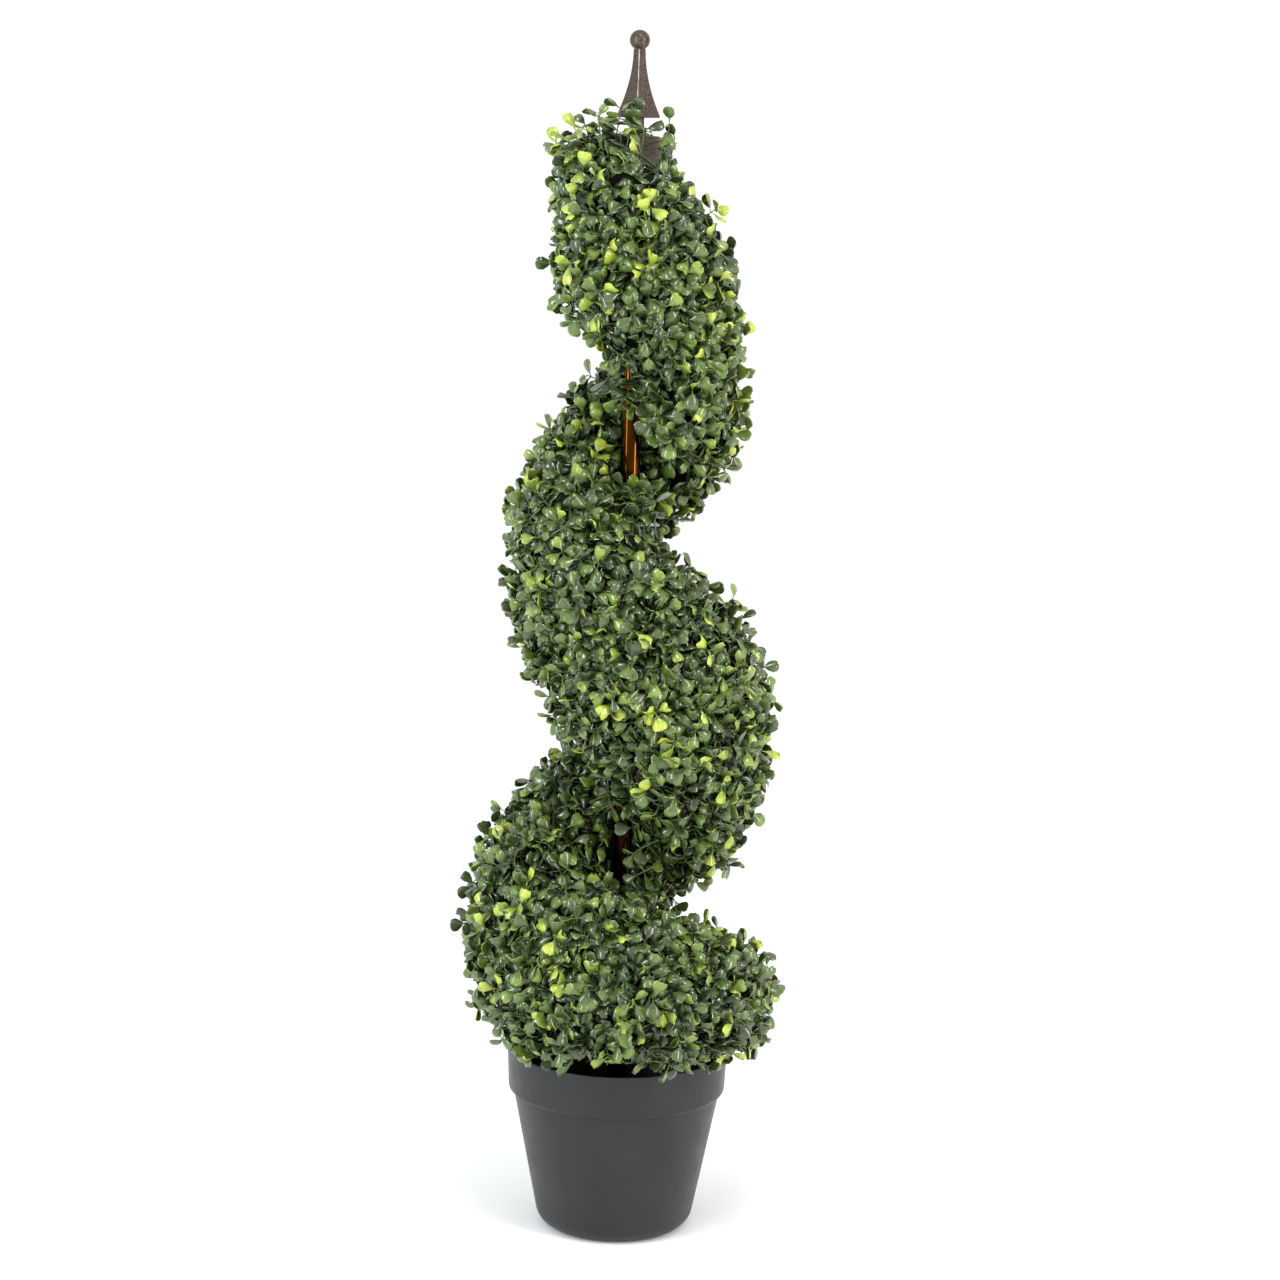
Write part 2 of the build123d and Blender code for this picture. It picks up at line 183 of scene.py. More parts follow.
# ---- what the leaves stay clear of ----
TRUNK_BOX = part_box("trunk_pole")
POT_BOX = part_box("planter_pot")
SPIRE_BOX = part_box("finial_spire")
BLOCK_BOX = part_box("finial_block")
TRUNK_RADIUS = TRUNK_BOX[1].x
POT_RIM = POT_BOX[1].x
RIM_KEEP_CLEAR = 12 * MM  # inwards from the rim's outer edge
POT_TOP = POT_BOX[1].z
FINIAL_RADIUS = max(SPIRE_BOX[1].x, BLOCK_BOX[1].x) + 0.9 * MM
FINIAL_TURN = math.radians(41)
FINIAL_FOOT = BLOCK_BOX[1].z - 46 * MM
LEAF_GAP = 1.2 * MM
BOX_MARGIN = 15 * MM
RIM_DROOP = 15 * MM
OVERHANG_HEIGHT = POT_TOP + 40 * MM
OVERHANG_RADIUS = POT_RIM - 15 * MM
BARE_UNDERSIDE_HEIGHT = POT_TOP + 18 * MM
BLOCK_TOP = BLOCK_BOX[1].z
# Boxes that no leaf enters: over the pot's front rim, before the block and beside the crown.
RIM_WINDOW = ((-46 * MM, -0.2, POT_TOP - 40 * MM), (30 * MM, -60 * MM, POT_TOP + 12 * MM))
FINIAL_WINDOW = ((5 * MM, -0.12, BLOCK_TOP - 22 * MM), (18 * MM, 0.0, BLOCK_TOP + 1 * MM))
SHOULDER_WINDOW = ((41 * MM, -0.12, BLOCK_TOP - 32 * MM), (0.12, 0.12, BLOCK_TOP + 0.1))


# ------------------------------------------------------------------ materials
def new_material(name, roughness, colour=(0.5, 0.5, 0.5), **sockets):
    """A node material with its Principled shader's plain values set."""
    mat = bpy.data.materials.new(name)
    mat.use_nodes = True
    shader = mat.node_tree.nodes["Principled BSDF"]
    shader.inputs["Base Color"].default_value = (*colour, 1)
    shader.inputs["Roughness"].default_value = roughness
    for socket, value in sockets.items():
        shader.inputs[socket.replace("_", " ")].default_value = value
    return mat, mat.node_tree, shader


def object_place(tree, socket, value):
    """Object-space coordinates through a Mapping node with one socket set."""
    where = tree.nodes.new("ShaderNodeTexCoord")
    mapping = tree.nodes.new("ShaderNodeMapping")
    mapping.inputs[socket].default_value = value
    tree.links.new(where.outputs["Object"], mapping.inputs["Vector"])
    return mapping.outputs["Vector"]


def split_xyz(tree, vector):
    """The three parts of a vector."""
    node = tree.nodes.new("ShaderNodeSeparateXYZ")
    tree.links.new(vector, node.inputs["Vector"])
    return node.outputs


def noise(tree, scale, detail=4.0, stretch=(1, 1, 1)):
    """Object-space noise, stretched along an axis where asked."""
    texture = tree.nodes.new("ShaderNodeTexNoise")
    texture.inputs["Scale"].default_value = scale
    texture.inputs["Detail"].default_value = detail
    tree.links.new(object_place(tree, "Scale", stretch), texture.inputs["Vector"])
    return texture.outputs["Fac"]


def ramp(tree, value, stops):
    """A colour ramp on a value; each stop is (position, colour)."""
    node = tree.nodes.new("ShaderNodeValToRGB")
    elements = node.color_ramp.elements
    while len(elements) < len(stops):
        elements.new(0.5)
    for element, (position, colour) in zip(elements, stops):
        element.position = position
        element.color = (*colour, 1)
    tree.links.new(value, node.inputs["Fac"])
    return node.outputs["Color"]


def map_range(tree, value, start, end, low, high):
    """Maps a value between start and end to the range from low to high, and holds it outside them."""
    node = tree.nodes.new("ShaderNodeMapRange")
    for socket, setting in zip(("From Min", "From Max", "To Min", "To Max"), (start, end, low, high)):
        node.inputs[socket].default_value = setting
    tree.links.new(value, node.inputs["Value"])
    return node.outputs["Result"]


def spread(tree, value, low, high):
    """Maps a noise value, which is mostly between 0.3 and 0.7, to a range."""
    return map_range(tree, value, 0.3, 0.7, low, high)


def math_node(tree, operation, first, second=None):
    """One Math node on one or two values."""
    node = tree.nodes.new("ShaderNodeMath")
    node.operation = operation
    tree.links.new(first, node.inputs[0])
    if second is not None:
        tree.links.new(second, node.inputs[1])
    return node.outputs[0]


def bump(tree, shader, value, strength, distance):
    """Bump from a value on the shader's normal."""
    node = tree.nodes.new("ShaderNodeBump")
    node.inputs["Strength"].default_value = strength
    node.inputs["Distance"].default_value = distance
    tree.links.new(value, node.inputs["Height"])
    tree.links.new(node.outputs["Normal"], shader.inputs["Normal"])


def leaf_material(name, colour, roughness):
    """Moulded polyethylene leaf: one tint, uneven gloss and faint ripples."""
    mat, tree, shader = new_material(
        name, roughness, colour, Specular_IOR_Level=0.45, Coat_Weight=0.5, Coat_Roughness=0.07
    )
    uneven = spread(tree, noise(tree, 90), roughness - 0.08, roughness + 0.12)
    tree.links.new(uneven, shader.inputs["Roughness"])
    bump(tree, shader, noise(tree, 420, detail=2), 0.2, 0.0003)
    return mat


def pot_material():
    """Matte grey moulded plastic with a fine grain and a little dust."""
    mat, tree, shader = new_material("grey_moulded_plastic", 0.4, Specular_IOR_Level=0.3)
    colour = ramp(tree, noise(tree, 16), [(0.3, (0.013, 0.013, 0.014)), (0.7, (0.019, 0.018, 0.018))])
    tree.links.new(colour, shader.inputs["Base Color"])
    tree.links.new(spread(tree, noise(tree, 60), 0.34, 0.46), shader.inputs["Roughness"])
    bump(tree, shader, noise(tree, 900, detail=3), 0.25, 0.0003)
    return mat


# Painted shade on the pole: the heights between which its colour darkens towards the foot, and the
# factor at each end.
TRUNK_PAINTED_SHADE_HEIGHTS = (0.45, 0.65)
TRUNK_PAINTED_SHADE = (0.55, 1.0)


def trunk_material():
    """Amber lacquered metal with streaks along the pole, and painted shade that darkens it towards its
    foot, where the foliage shades it.
    """
    mat, tree, shader = new_material("amber_lacquer", 0.13, Metallic=1.0)
    streaks = noise(tree, 60, detail=5, stretch=(1, 1, 0.06))
    height = split_xyz(tree, object_place(tree, "Scale", (1, 1, 1)))["Z"]
    # Painted shade: the streaks are scaled down low on the pole, so its colour darkens towards the
    # foot.
    painted_shade = map_range(tree, height, *TRUNK_PAINTED_SHADE_HEIGHTS, *TRUNK_PAINTED_SHADE)
    shaded = math_node(tree, "MULTIPLY", streaks, painted_shade)
    stops = [
        (0.22, (0.010, 0.004, 0.001)),
        (0.36, (0.030, 0.010, 0.001)),
        (0.50, (0.088, 0.034, 0.005)),
        (0.66, (0.300, 0.150, 0.034)),
    ]
    tree.links.new(ramp(tree, shaded, stops), shader.inputs["Base Color"])
    bump(tree, shader, streaks, 0.12, 0.0004)
    return mat


def ridge_highlight_mask(tree, turn, width):
    """Mask of the painted highlight: one on the four corner edges of a square spire, zero on its faces.
    """
    split = split_xyz(tree, object_place(tree, "Rotation", (0, 0, -turn)))
    across = math_node(tree, "ABSOLUTE", split["X"])
    deep = math_node(tree, "ABSOLUTE", split["Y"])
    gap = math_node(tree, "ABSOLUTE", math_node(tree, "SUBTRACT", across, deep))
    return map_range(tree, gap, width * 0.4, width, 1, 0)


# Width and colour of the painted highlight along the spire's corner edges.
RIDGE_HIGHLIGHT_WIDTH = 0.9 * MM
RIDGE_HIGHLIGHT_COLOUR = (0.40, 0.41, 0.42)


def rust_material(name="rusty_iron", painted_ridge_highlight=False):
    """Finely mottled rusty grey-brown iron, with a painted highlight in pale grey along its corner
    edges where asked.
    """
    mat, tree, shader = new_material(name, 0.4, Metallic=0.4, Specular_IOR_Level=0.5)
    mottle = noise(tree, 620, detail=6)
    stops = [
        (0.34, (0.016, 0.014, 0.016)),
        (0.47, (0.046, 0.031, 0.024)),
        (0.57, (0.092, 0.058, 0.034)),
        (0.70, (0.076, 0.066, 0.048)),
    ]
    colour = ramp(tree, mottle, stops)
    # Painted highlight: pale grey mixed in along the corner edges.
    if painted_ridge_highlight:
        mix = tree.nodes.new("ShaderNodeMix")
        mix.data_type = "RGBA"
        # Noise that breaks up the painted highlight along the edges.
        grit = spread(tree, noise(tree, 260), 0.2, 1)
        highlight_on_edges = math_node(tree, "MULTIPLY", ridge_highlight_mask(tree, FINIAL_TURN, RIDGE_HIGHLIGHT_WIDTH), grit)
        tree.links.new(highlight_on_edges, mix.inputs["Factor"])
        tree.links.new(colour, mix.inputs["A"])
        mix.inputs["B"].default_value = (*RIDGE_HIGHLIGHT_COLOUR, 1)
        colour = mix.outputs["Result"]
    tree.links.new(colour, shader.inputs["Base Color"])
    tree.links.new(spread(tree, noise(tree, 300), 0.26, 0.5), shader.inputs["Roughness"])
    bump(tree, shader, mottle, 0.5, 0.0004)
    return mat


def ballast_material():
    """Dark cast cement with grit."""
    mat, tree, shader = new_material("dark_cement", 0.9)
    stops = [(0.35, (0.022, 0.021, 0.020)), (0.65, (0.055, 0.052, 0.048))]
    tree.links.new(ramp(tree, noise(tree, 260, detail=8), stops), shader.inputs["Base Color"])
    bump(tree, shader, noise(tree, 200, detail=8), 0.8, 0.002)
    return mat


def plain_material(name, colour, roughness, metallic=0.0, specular=0.5):
    """Coated wire, bare steel and small plastic: an even tint with uneven gloss."""
    mat, tree, shader = new_material(
        name, roughness, colour, Metallic=metallic, Specular_IOR_Level=specular
    )
    uneven = spread(tree, noise(tree, 120), roughness - 0.1, roughness + 0.1)
    tree.links.new(uneven, shader.inputs["Roughness"])
    bump(tree, shader, noise(tree, 500), 0.2, 0.0003)
    return mat


# ------------------------------------------------------------------ the strand, measured from the frame
def tree_of(name):
    """A mat's mesh as a tree for ray casts, and its vertices."""
    mesh = frame["nodes"][name].data
    corners = [v.co.copy() for v in mesh.vertices]
    return BVHTree.FromPolygons(corners, [tuple(p.vertices) for p in mesh.polygons]), np.array(corners)


def hit_radius(tree, azimuth, height, outward):
    """Radius at which a level ray meets the mat, going out from the trunk or in from outside."""
    way = Vector((math.cos(azimuth), math.sin(azimuth), 0))
    origin = Vector((0, 0, height)) + (Vector() if outward else way * RAY_START)
    place = tree.ray_cast(origin, way if outward else -way, RAY_START)[0]
    return None if place is None else place.dot(way)


def section_centre(tree, azimuth, low, high):
    """Radius and height of the middle of the mat's section at one azimuth."""
    rows = []
    for height in np.arange(low, high, HEIGHT_STEP):
        inner = hit_radius(tree, azimuth, height, True)
        outer = hit_radius(tree, azimuth, height, False)
        if inner is not None and outer is not None and outer > inner:
            rows.append((height, inner, outer))
    bottom, top = rows[0][0], rows[-1][0]
    middle = (bottom + top) / 2
    _, inner, outer = min(rows, key=lambda row: abs(row[0] - middle))
    return inner + BELLY * (outer - inner), middle


def measure_mat(name, after):
    """Section centres, outline points and heading of one mat, azimuth by azimuth down the strand."""
    tree, corners = tree_of(name)
    heading = math.atan2(corners[:, 1].mean(), corners[:, 0].mean())
    turned = np.arctan2(corners[:, 1], corners[:, 0]) - heading
    turned = (turned + math.pi) % (2 * math.pi) - math.pi
    while heading < after:
        heading += 2 * math.pi
    start = heading + turned.min() + END_MARGIN
    end = heading + turned.max() - END_MARGIN
    low, high = corners[:, 2].min(), corners[:, 2].max()
    centres, outlines = [], []
    for azimuth in np.linspace(start, end, AZIMUTHS_PER_MAT):
        radius, height = section_centre(tree, azimuth, low, high)
        out = Vector((math.cos(azimuth), math.sin(azimuth), 0))
        centre = out * radius + Vector((0, 0, height))
        row = []
        for angle in np.linspace(0, 2 * math.pi, ANGLES, endpoint=False):
            way = out * math.cos(angle) + Vector((0, 0, math.sin(angle)))
            place = tree.ray_cast(centre + way * SECTION_REACH, -way, SECTION_REACH)[0]
            row.append(place if place is not None else row[-1])
        centres.append(centre)
        outlines.append(row)
    return np.array(centres), np.array(outlines), heading


def measure_strand():
    """Every mat's centres and outlines, from the top of the strand to its foot."""
    strand, after = {}, -10.0
    for name in MATS:
        centres, outlines, after = measure_mat(name, after)
        strand[name] = (centres, outlines)
    return strand


def surface_point(centres, outlines, row, column):
    """Outline point and centre at fractional row and column."""
    i = np.clip(row.astype(int), 0, len(centres) - 2)
    a = (row - i)[:, None]
    j = column.astype(int) % ANGLES
    k = (j + 1) % ANGLES
    b = (column - column.astype(int))[:, None]
    upper = outlines[i, j] * (1 - b) + outlines[i, k] * b
    lower = outlines[i + 1, j] * (1 - b) + outlines[i + 1, k] * b
    centre = centres[i] * (1 - a) + centres[i + 1] * a
    return upper * (1 - a) + lower * a, centre


def unit(v):
    """Each vector at length 1."""
    return v / np.maximum(np.linalg.norm(v, axis=-1, keepdims=True), 1e-9)


def surface_normal(centres, outlines, row, column):
    """Outward normal of the strand's surface."""
    here, centre = surface_point(centres, outlines, row, column)
    last = len(centres) - 1.001
    along = surface_point(centres, outlines, np.minimum(row + ROW_STEP, last), column)[0]
    back = surface_point(centres, outlines, np.maximum(row - ROW_STEP, 0), column)[0]
    side = surface_point(centres, outlines, row, (column + COLUMN_STEP) % ANGLES)[0]
    other = surface_point(centres, outlines, row, (column - COLUMN_STEP) % ANGLES)[0]
    normal = unit(np.cross(along - back, side - other))
    flip = np.sign(np.sum(normal * (here - centre), axis=1))
    return normal * flip[:, None]


# ------------------------------------------------------------------ sprig places
def column_angle(column):
    """Angle of an outline column about its centre: zero is away from the trunk."""
    return column * 2 * math.pi / ANGLES


def faces_trunk(column):
    """True for the columns on the strand's trunk side."""
    return np.cos(column_angle(column)) < TRUNK_SIDE_COSINE


def spaced_places(centres, outlines, taken, spacing):
    """Scattered places on one mat's surface, a spacing or more from each other and from those taken."""
    wide = np.roll(outlines, -1, axis=1)[:-1] - outlines[:-1]
    area = np.linalg.norm(np.cross(outlines[1:] - outlines[:-1], wide), axis=2)
    thinned = np.where(faces_trunk(np.arange(ANGLES)), TRUNK_SIDE_DENSITY, 1.0)
    weight = (area * thinned[None]).ravel()
    tries = int(TRIES_PER_PLACE * area.sum() / spacing**2)
    picked = RNG.choice(weight.size, tries, p=weight / weight.sum())
    row = picked // ANGLES + RNG.random(tries)
    column = picked % ANGLES + RNG.random(tries)
    places, _ = surface_point(centres, outlines, row, column)
    held = np.empty((len(taken) + tries, 3))
    held[: len(taken)] = taken
    filled = len(taken)
    kept = []
    for index in range(tries):
        gaps = held[:filled] - places[index]
        if filled and np.einsum("nk,nk->n", gaps, gaps).min() < spacing**2:
            continue
        kept.append(index)
        held[filled] = places[index]
        filled += 1
    return row[kept], column[kept], held[:filled]


# ------------------------------------------------------------------ leaf shapes
# Shares of a leaf's length.
TIP_CORNER_CUT = 0.07
LOBE_HEIGHT = 0.045
EDGE_FALL = 0.11
CURL_START = 0.25
CURL_DEPTH = 0.3


class LeafForm:
    """A closed leaf's mesh plan: stations along it with half widths, columns across its upper face."""

    def __init__(self, stations, half_widths, across):
        self.stations = np.array(stations)
        self.half_widths = np.array(half_widths)
        self.across = np.array(across)
        self.rows, self.columns = len(stations), len(across)
        self.layer = self.rows * self.columns
        self.faces, self.kinds, self.shares = self.plan()

    def plan(self):
        """Triangles of the upper face, the sloped rim and the underside, which has a midrib only."""
        rows, columns, layer = self.rows, self.columns, self.layer
        faces, kinds, shares = [], [], []

        def add(corners, kind, share):
            for k in range(1, len(corners) - 1):
                faces.append((corners[0], corners[k], corners[k + 1]))
                kinds.append(kind)
                shares.append(share)

        middle = columns // 2
        for i in range(rows - 1):
            share = (self.stations[i] + self.stations[i + 1]) / 2
            a, b = i * columns, (i + 1) * columns
            for j in range(columns - 1):
                add((a + j, b + j, b + j + 1, a + j + 1), "top", share)
            # Underside: the end rows keep every column, the others only the edges and the midrib.
            near = list(range(columns)) if i == 0 else [0, middle, columns - 1]
            far = list(range(columns)) if i == rows - 2 else [0, middle, columns - 1]
            for first, last in ((0, middle), (middle, columns - 1)):
                lower = [layer + a + j for j in near if first <= j <= last]
                upper = [layer + b + j for j in far if first <= j <= last]
                add(lower + upper[::-1], "under", share)
        ring = [i * columns for i in range(rows)]
        ring += [(rows - 1) * columns + j for j in range(1, columns)]
        ring += [i * columns + columns - 1 for i in range(rows - 2, -1, -1)]
        ring += range(columns - 2, 0, -1)
        for a, b in zip(ring, ring[1:] + ring[:1]):
            add((b, a, a + layer, b + layer), "rim", self.stations[a // columns])
        return np.array(faces), np.array(kinds), np.array(shares)

    def vertices(self, length, width, notch, dome, curl):
        """Vertices of many leaves, one row per leaf, in their own frame: X along, Y across, Z up."""
        count = len(length)
        shape = (count, self.rows, self.columns)
        along = np.broadcast_to(self.stations[None, :, None], shape).copy()
        along[:, -1, [0, -1]] -= TIP_CORNER_CUT
        along[:, -1, self.columns // 2] -= notch
        half = self.half_widths[None, :, None]
        side = np.broadcast_to(half * self.across[None, None], shape)
        # Two puffed halves with a groove between them, edges and tip turned down.
        bulge = np.sin(np.pi * np.abs(self.across) * 0.95) * LOBE_HEIGHT
        lobes = (bulge - EDGE_FALL * self.across**2)[None, None] * half * dome[:, None, None]
        fall = curl[:, None, None] * np.clip(along - CURL_START, 0, 1) ** 2 * CURL_DEPTH
        x = along * length[:, None, None]
        y = side * (width / 2)[:, None, None]
        z = (lobes - fall) * length[:, None, None]
        under = np.stack([x, y, z - LEAF_THICKNESS], -1).reshape(count, self.layer, 3)
        inset = 1 - 2 * RIM_SLOPE / width[:, None, None]
        tip = np.clip((along - 0.9) / 0.1, 0, 1) * RIM_SLOPE
        top = np.stack([x - tip, y * inset, z], -1).reshape(count, self.layer, 3)
        return np.concatenate([top, under], axis=1)


LEAF = LeafForm(
    (0.0, 0.22, 0.38, 0.6, 0.8, 0.94, 1.0),
    (0.07, 0.11, 0.58, 0.98, 0.98, 0.74, 0.38),
    (-1.0, -0.5, 0.0, 0.5, 1.0),
)
FILLER_LEAF = LeafForm((0.0, 0.3, 0.66, 1.0), (0.1, 0.5, 1.0, 0.5), (-1.0, 0.0, 1.0))


# ------------------------------------------------------------------ sprigs
def any_across(direction):
    """A random unit vector square to each direction."""
    return unit(np.cross(direction, RNG.normal(size=direction.shape)))


def grow_stems(places, centres, normals, trunk_side, reach, lean):
    """Foot, direction, length and bend of the sprigs of a mat."""
    inward = unit(centres - places)
    thickness = np.linalg.norm(centres - places, axis=1)
    depth = np.minimum(LEAF_DEPTH, thickness * MOST_DEPTH_SHARE)
    depth = np.where(trunk_side, np.minimum(depth, TRUNK_SIDE_DEPTH), depth)
    foot = places + inward * depth[:, None]
    tilt = any_across(normals) * (lean * RNG.random(len(places)) ** LEAN_POWER)[:, None]
    hang = unit(places * np.array([1, 1, 0])) * RIM_HANG_OUT
    hang[:, 2] = -RIM_HANG_DOWN
    radius = np.linalg.norm(places[:, :2], axis=1)
    over_rim = (places[:, 2] < OVERHANG_HEIGHT) & (radius > OVERHANG_RADIUS)
    axis = unit(normals + tilt + hang * over_rim[:, None])
    crown = np.interp(places[:, 2], CROWN_HEIGHTS, (0, 1))
    reach = reach + RIM_EXTRA_REACH * over_rim - CROWN_TRIM * crown
    length = (depth + reach) / np.maximum(np.sum(axis * normals, axis=1), LEAST_COSINE)
    length = np.clip(length, *STEM_LENGTH)
    bend = any_across(axis) * (length * RNG.uniform(0.0, STEM_BEND, len(places)))[:, None]
    bend[:, 2] -= length * STEM_SAG
    # Random tone, plus painted shade that darkens the sprigs low on the tree.
    tone = RNG.normal(size=len(places)) + np.interp(places[:, 2], PAINTED_SHADE_HEIGHTS, (LOW_PAINTED_SHADE, 0.0))
    return foot, axis, length, bend, tone


def hand_stems(rows):
    """The sprigs of a mat that are listed one by one."""
    feet = np.array([row[0] for row in rows]) * MM
    tips = np.array([row[1] for row in rows]) * MM
    tone = np.array([row[2] for row in rows], float)
    length = np.linalg.norm(tips - feet, axis=1)
    axis = unit(tips - feet)
    bend = any_across(axis) * (length * HAND_STEM_BEND)[:, None]
    return feet, axis, length, bend, tone


def stem_point(foot, axis, length, bend, share):
    """A point along each bent stem."""
    return foot + axis * (length * share)[:, None] + bend * (share**2)[:, None]


class LeafPair:
    """Where a pair of leaves sits on its stem: pair spacings below the tip, splay in degrees."""

    def __init__(self, below, splay, at_tip=False, present=1.0):
        self.below, self.splay, self.at_tip, self.present = below, splay, at_tip, present


SPRIG_PAIRS = (
    LeafPair(0.0, 50, at_tip=True),
    LeafPair(0.55, 68, at_tip=True, present=0.6),
    LeafPair(1.6, 72),
    LeafPair(2.8, 80),
    LeafPair(4.1, 86, present=0.8),
)
FILLER_PAIRS = (
    LeafPair(0.0, 62),
    LeafPair(0.5, 74),
)


def grow_leaves(stems, pairs, sizes, shade_shift):
    """All leaves of a mat's sprigs: origin, frame and shape of each."""
    foot, axis, length, bend, tone = stems
    parts = []
    count = len(foot)
    spin = any_across(axis)
    spacing = PAIR_SPACING * RNG.uniform(*PAIR_SPACING_SPREAD, count)
    for order, pair in enumerate(pairs):
        spot = length - pair.below * spacing
        there = (spot > LEAST_STEM) & (RNG.random(count) < pair.present)
        share = np.clip(spot / length, 0, 1)
        origin = stem_point(foot, axis, length, bend, share)
        heading = unit(axis + bend / length[:, None] * 2 * share[:, None])
        first = unit(spin - heading * np.sum(spin * heading, axis=1, keepdims=True))
        second = np.cross(heading, first)
        turn = order * math.pi / 2 + RNG.normal(0, PAIR_TURN_SPREAD, count)
        side = first * np.cos(turn)[:, None] + second * np.sin(turn)[:, None]
        for sign in (1, -1):
            splay = pair.splay + RNG.normal(0, SPLAY_SPREAD, count)
            angle = np.radians(np.clip(splay, *SPLAY_LIMITS))
            way = heading * np.cos(angle)[:, None] + side * sign * np.sin(angle)[:, None]
            way[:, 2] -= DROOP * RNG.random(count)
            way = unit(way)
            up = unit(heading - way * np.sum(heading * way, axis=1, keepdims=True))
            across = np.cross(up, way)
            roll = RNG.normal(0, ROLL_SPREAD, count)
            up = up * np.cos(roll)[:, None] + across * np.sin(roll)[:, None]
            low, high = TIP_LEAF_LENGTH if pair.at_tip else sizes
            own_tone = RNG.normal(size=count)
            shade = SPRIG_TONE_WEIGHT * tone + LEAF_TONE_WEIGHT * own_tone + shade_shift
            # Painted shade: pairs lower on the stem, deeper in the foliage, are darker.
            shade += TIP_SHADE if pair.at_tip else PAINTED_SHADE_PER_PAIR * (order - 1)
            use = there & (RNG.random(count) > LEAF_MISSING)
            parts.append(
                {
                    "origin": (origin + way * STALK_GAP)[use],
                    "way": way[use],
                    "up": up[use],
                    "length": RNG.uniform(low, high, count)[use],
                    "shade": shade[use],
                    "tip": np.full(use.sum(), pair.at_tip),
                }
            )
    return {key: np.concatenate([p[key] for p in parts]) for key in parts[0]}


def place_leaves(leaves, form):
    """World vertices of every leaf."""
    count = len(leaves["length"])
    notched = RNG.random(count) < NOTCHED_SHARE
    notch = np.where(notched, RNG.uniform(*NOTCH_DEPTH, count), RNG.uniform(*PLAIN_TIP, count))
    width = leaves["length"] * RNG.uniform(*LEAF_WIDTH_SHARE, count)
    dome = RNG.normal(*DOME, count)
    curl = RNG.normal(*CURL, count)
    local = form.vertices(leaves["length"], width, notch, dome, curl)
    across = np.cross(leaves["up"], leaves["way"])
    turn = np.stack([leaves["way"], across, leaves["up"]], axis=1)
    return np.einsum("nvk,nkd->nvd", local, turn) + leaves["origin"][:, None]


def clear_of_parts(points):
    """True for each leaf or stem whose points all keep clear of the CAD parts and the windows."""
    radius = np.linalg.norm(points[..., :2], axis=-1)
    height = points[..., 2]
    in_trunk = radius < TRUNK_RADIUS + LEAF_GAP
    by_finial = (radius < FINIAL_RADIUS + LEAF_GAP) & (height > FINIAL_FOOT)
    at_wall = (radius > POT_RIM - RIM_KEEP_CLEAR) & (radius < POT_RIM + LEAF_GAP)
    at_rim = (height < POT_TOP + LEAF_GAP) & at_wall
    too_low = height < POT_TOP - RIM_DROOP
    in_window = np.zeros(height.shape, bool)
    for low, high in (RIM_WINDOW, FINIAL_WINDOW, SHOULDER_WINDOW):
        in_window |= ((points > low) & (points < high)).all(axis=-1)
    low, high = np.array(CAD_BOX[0]) - BOX_MARGIN, np.array(CAD_BOX[1]) + BOX_MARGIN
    outside = (points < low).any(axis=-1) | (points > high).any(axis=-1)
    return ~(in_trunk | by_finial | at_rim | too_low | in_window | outside).any(axis=1)


# ------------------------------------------------------------------ meshes
def mesh_object(name, vertices, faces, materials, face_material=None, smooth=None):
    """A mesh object from arrays of vertices and faces, which all have as many corners."""
    mesh = bpy.data.meshes.new(name)
    mesh.vertices.add(len(vertices))
    mesh.vertices.foreach_set("co", np.asarray(vertices, np.float32).ravel())
    mesh.loops.add(faces.size)
    mesh.loops.foreach_set("vertex_index", faces.astype(np.int32).ravel())
    mesh.polygons.add(len(faces))
    mesh.polygons.foreach_set("loop_start", np.arange(0, faces.size, faces.shape[1], dtype=np.int32))
    if smooth is None:
        smooth = np.ones(len(faces), bool)
    for material in materials:
        mesh.materials.append(material)
    if face_material is not None:
        mesh.polygons.foreach_set("material_index", face_material.astype(np.int32))
    mesh.update(calc_edges=True)
    mesh.polygons.foreach_set("use_smooth", smooth)
    mesh.validate()
    obj = bpy.data.objects.new(name, mesh)
    bpy.context.scene.collection.objects.link(obj)
    return obj


# Leaf tints from dark to lime, then the dull one of the undersides.
TINTS = {
    "deep": (0.018, 0.031, 0.008),
    "dark": (0.033, 0.056, 0.012),
    "bottle": (0.053, 0.087, 0.018),
    "mid": (0.084, 0.132, 0.022),
    "fresh": (0.135, 0.200, 0.028),
    "light": (0.190, 0.262, 0.032),
    "spring": (0.265, 0.345, 0.036),
    "lime": (0.360, 0.435, 0.044),
    "dull": (0.070, 0.097, 0.040),
}
TINT_NAMES = list(TINTS)
# For each class of leaf: tints of its foot, blade and tip, then of its rim and its underside.
LEAF_CLASSES = (
    ("deep", "deep", "dark", "bottle", "dark"),
    ("dark", "dark", "bottle", "mid", "bottle"),
    ("dark", "bottle", "bottle", "fresh", "dull"),
    ("bottle", "bottle", "mid", "fresh", "dull"),
    ("bottle", "mid", "mid", "fresh", "dull"),
    ("mid", "mid", "fresh", "spring", "mid"),
    ("fresh", "fresh", "light", "spring", "fresh"),
    ("light", "spring", "lime", "lime", "fresh"),
)
CLASS_EDGES = (-0.9, -0.4, 0.1, 0.5, 0.82, 1.1, 1.45)
FOOT_SHARE, TIP_SHARE = 0.3, 0.7  # the leaf's foot ends and its tip begins here
LEAF_ROUGHNESS, DULL_ROUGHNESS = 0.24, 0.36


def face_tints(form, shade):
    """Material index of every face of every leaf, from its shade."""
    chosen = np.searchsorted(CLASS_EDGES, shade)
    zone = np.where(form.shares < FOOT_SHARE, 0, np.where(form.shares < TIP_SHARE, 1, 2))
    zone = np.where(form.kinds == "rim", 3, np.where(form.kinds == "under", 4, zone))
    table = np.array([[TINT_NAMES.index(t) for t in row] for row in LEAF_CLASSES])
    return table[chosen][:, zone]


